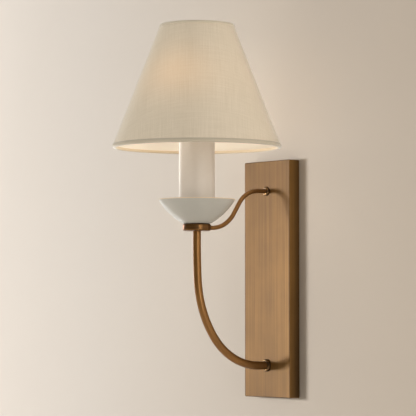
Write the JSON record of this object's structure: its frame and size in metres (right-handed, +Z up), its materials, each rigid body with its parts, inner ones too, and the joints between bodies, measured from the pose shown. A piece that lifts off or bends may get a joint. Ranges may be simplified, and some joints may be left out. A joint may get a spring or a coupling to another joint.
{
  "type": "wall light",
  "caption": "Wall light: a tall backplate carries a thick curved arm and a thin brace arm, which hold a dish, a candle sleeve and a tapered linen shade round a screw-in bulb.",
  "frame": {"origin": "on the wall, at the middle of the back of the mounting bracket and backplate", "axes": "+Y into the wall, -Y towards the room, +X to the right seen from the room, +Z up"},
  "size_m": [0.227, 0.2504, 0.5022],
  "materials": {
    "aged_brass": "brushed, dark and satin",
    "aged_brass_screw": "dark and satin",
    "zinc_steel": "zinc plated",
    "bright_brass": "bright",
    "tinned_copper": "tinned",
    "earth_insulation": "smooth",
    "white_nylon": "moulded",
    "nickel_steel": "nickel plated",
    "black_nylon": "moulded",
    "grey_fibre": "matte",
    "white_paint": "matte white enamel",
    "sleeve_paint": "matte off-white",
    "black_phenolic": "moulded",
    "white_porcelain": "glazed",
    "nickel_brass": "nickel plated",
    "live_insulation": "smooth",
    "neutral_insulation": "smooth",
    "linen": "off-white linen, fine slubs",
    "shade_lining": "smooth off-white film",
    "linen_tape": "off-white linen tape",
    "white_wire": "white powder coat",
    "opal_glass": "opal",
    "black_glass": "glossy"
  },
  "bodies": {
    "fixture": {"backplate_cover": "aged_brass", "mounting_bracket": "zinc_steel", "cover_screws": "aged_brass_screw", "earth_screw": "bright_brass", "earth_lug": "tinned_copper", "earth_wire": "earth_insulation", "terminal_block": "white_nylon", "block_screws": "nickel_steel", "block_fixing_screw": "nickel_steel", "lower_arm": "aged_brass", "upper_arm": "aged_brass", "lower_collar": "aged_brass", "upper_collar": "aged_brass", "lower_arm_washer": "zinc_steel", "lower_arm_nut": "zinc_steel", "upper_arm_washer": "zinc_steel", "upper_arm_nut": "zinc_steel", "arm_bush": "black_nylon", "hub": "aged_brass", "threaded_stem": "zinc_steel", "bowl_washer": "grey_fibre", "drip_bowl": "white_paint", "centring_washer": "zinc_steel", "stem_lock_nut": "zinc_steel", "candle_sleeve": "sleeve_paint", "lampholder_base": "black_phenolic", "lampholder_shell": "black_phenolic", "holder_insulator": "white_porcelain", "screw_shell": "nickel_brass", "centre_contact": "nickel_brass", "holder_terminals": "bright_brass", "holder_terminal_screws": "nickel_steel", "live_wire": "live_insulation", "neutral_wire": "neutral_insulation"},
    "shade": {"shade_cloth": "linen", "shade_liner": "shade_lining", "bottom_trim": "linen_tape", "top_trim": "linen_tape", "bottom_wire_ring": "white_wire", "top_wire_ring": "white_wire", "fitter_ring": "white_wire", "fitter_spokes": "white_wire"},
    "shade_ring": {"shade_ring_nut": "black_phenolic"},
    "bulb": {"bulb_glass": "opal_glass", "bulb_cap": "nickel_brass", "bulb_insulator": "black_glass", "bulb_contact": "nickel_brass"}
  },
  "joints": [
    {"name": "shade_lift", "type": "slide", "parent": "fixture", "child": "shade", "axis": [0, 0, 1], "range_m": [0, 0.135]},
    {"name": "ring_turn", "type": "hinge", "parent": "shade", "child": "shade_ring", "pos_m": [0, -0.137, 0.232], "axis": [0, 0, 1], "continuous": true},
    {"name": "bulb_lift", "type": "slide", "parent": "fixture", "child": "bulb", "axis": [0, 0, 1], "range_m": [0, 0.15]}
  ]
}
